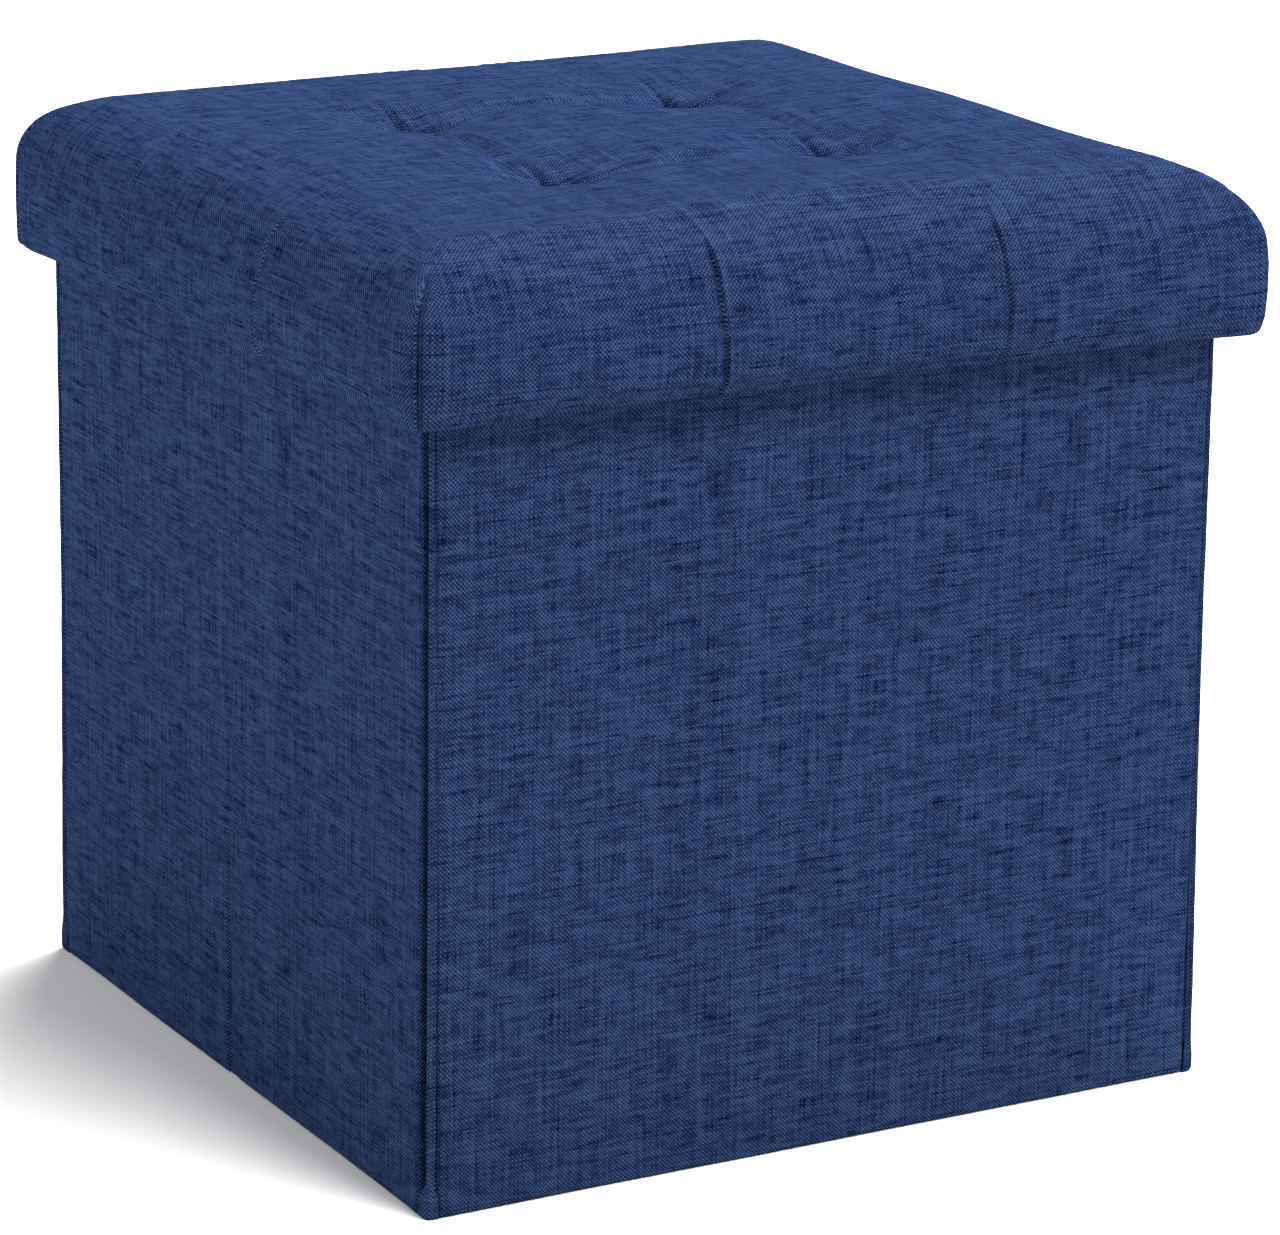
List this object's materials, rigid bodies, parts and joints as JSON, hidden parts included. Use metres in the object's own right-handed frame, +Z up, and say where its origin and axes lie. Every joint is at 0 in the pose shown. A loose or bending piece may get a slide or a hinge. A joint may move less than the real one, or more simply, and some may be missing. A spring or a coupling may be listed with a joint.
{
  "type": "folding fabric storage bin",
  "caption": "Cube-shaped collapsible fabric storage bin with a padded, tufted lift-off lid that doubles as a low seat",
  "frame": {"origin": "centre of the underside, on the floor", "axes": "+Z up, -Y towards the front wall, +X to the right of someone facing the front from outside"},
  "size_m": [0.398, 0.398, 0.4],
  "materials": {
    "cover_fabric": "two-tone slubbed linen-look polyester, matt",
    "lining_fabric": "thin non-woven lining, matt",
    "wall_board": "thin fibreboard, matt",
    "foam": "open-cell foam",
    "hinge_tape": "doubled cover cloth, sewn",
    "ribbon": "woven polyester ribbon",
    "thread": "thick twisted thread",
    "washer_plastic": "moulded",
    "staple_wire": "galvanised wire"
  },
  "bodies": {
    "back": {"back_cover": "cover_fabric", "back_board": "wall_board", "back_liner": "lining_fabric", "back_left_hinge_tape": "hinge_tape", "back_right_hinge_tape": "hinge_tape", "base_hinge_tape": "hinge_tape"},
    "left_rear": {"left_rear_cover": "cover_fabric", "left_rear_board": "wall_board", "left_rear_liner": "lining_fabric", "left_crease_tape": "hinge_tape"},
    "left_front": {"left_front_cover": "cover_fabric", "left_front_board": "wall_board", "left_front_liner": "lining_fabric"},
    "front": {"front_cover": "cover_fabric", "front_board": "wall_board", "front_liner": "lining_fabric", "front_left_hinge_tape": "hinge_tape", "front_right_hinge_tape": "hinge_tape"},
    "right_rear": {"right_rear_cover": "cover_fabric", "right_rear_board": "wall_board", "right_rear_liner": "lining_fabric", "right_crease_tape": "hinge_tape"},
    "right_front": {"right_front_cover": "cover_fabric", "right_front_board": "wall_board", "right_front_liner": "lining_fabric"},
    "base": {"base_cover": "lining_fabric", "base_board": "wall_board", "base_liner": "lining_fabric", "base_pull_tab": "ribbon"},
    "lid": {"lid_board": "wall_board", "lid_foam_pad": "foam", "lid_cover": "cover_fabric", "lid_lining": "lining_fabric", "lid_skirt_front": "wall_board", "lid_skirt_back": "wall_board", "lid_skirt_left": "wall_board", "lid_skirt_right": "wall_board", "lid_skirt_wadding": "foam", "tuft_threads": "thread", "tuft_washers": "washer_plastic", "lining_staples": "staple_wire"}
  },
  "joints": [
    {"name": "lid_lift", "type": "slide", "parent": "back", "child": "lid", "axis": [0, 0, 1], "range_m": [0, 0.15]},
    {"name": "base_flip", "type": "hinge", "parent": "back", "child": "base", "pos_m": [0, 0.175, 0.0025], "axis": [-1, 0, 0], "range_deg": [0, 90]},
    {"name": "left_rear_fold", "type": "hinge", "parent": "back", "child": "left_rear", "pos_m": [-0.178, 0.1735, 0.184], "axis": [0, 0, 1], "range_deg": [0, 90]},
    {"name": "left_crease_fold", "type": "hinge", "parent": "left_rear", "child": "left_front", "pos_m": [-0.1863, 0, 0.184], "axis": [0, 0, 1], "range_deg": [-180, 0]},
    {"name": "left_front_fold", "type": "hinge", "parent": "left_front", "child": "front", "pos_m": [-0.178, -0.1735, 0.184], "axis": [0, 0, 1], "range_deg": [0, 90]},
    {"name": "right_rear_fold", "type": "hinge", "parent": "back", "child": "right_rear", "pos_m": [0.178, 0.1735, 0.184], "axis": [0, 0, 1], "range_deg": [-90, 0]},
    {"name": "right_crease_fold", "type": "hinge", "parent": "right_rear", "child": "right_front", "pos_m": [0.1863, 0, 0.184], "axis": [0, 0, 1], "range_deg": [0, 180]}
  ],
  "couplings": [
    {"joint": "left_crease_fold", "follows": "left_rear_fold", "ratio": -2},
    {"joint": "left_front_fold", "follows": "left_rear_fold", "ratio": 1},
    {"joint": "right_rear_fold", "follows": "left_rear_fold", "ratio": -1},
    {"joint": "right_crease_fold", "follows": "left_rear_fold", "ratio": 2}
  ]
}
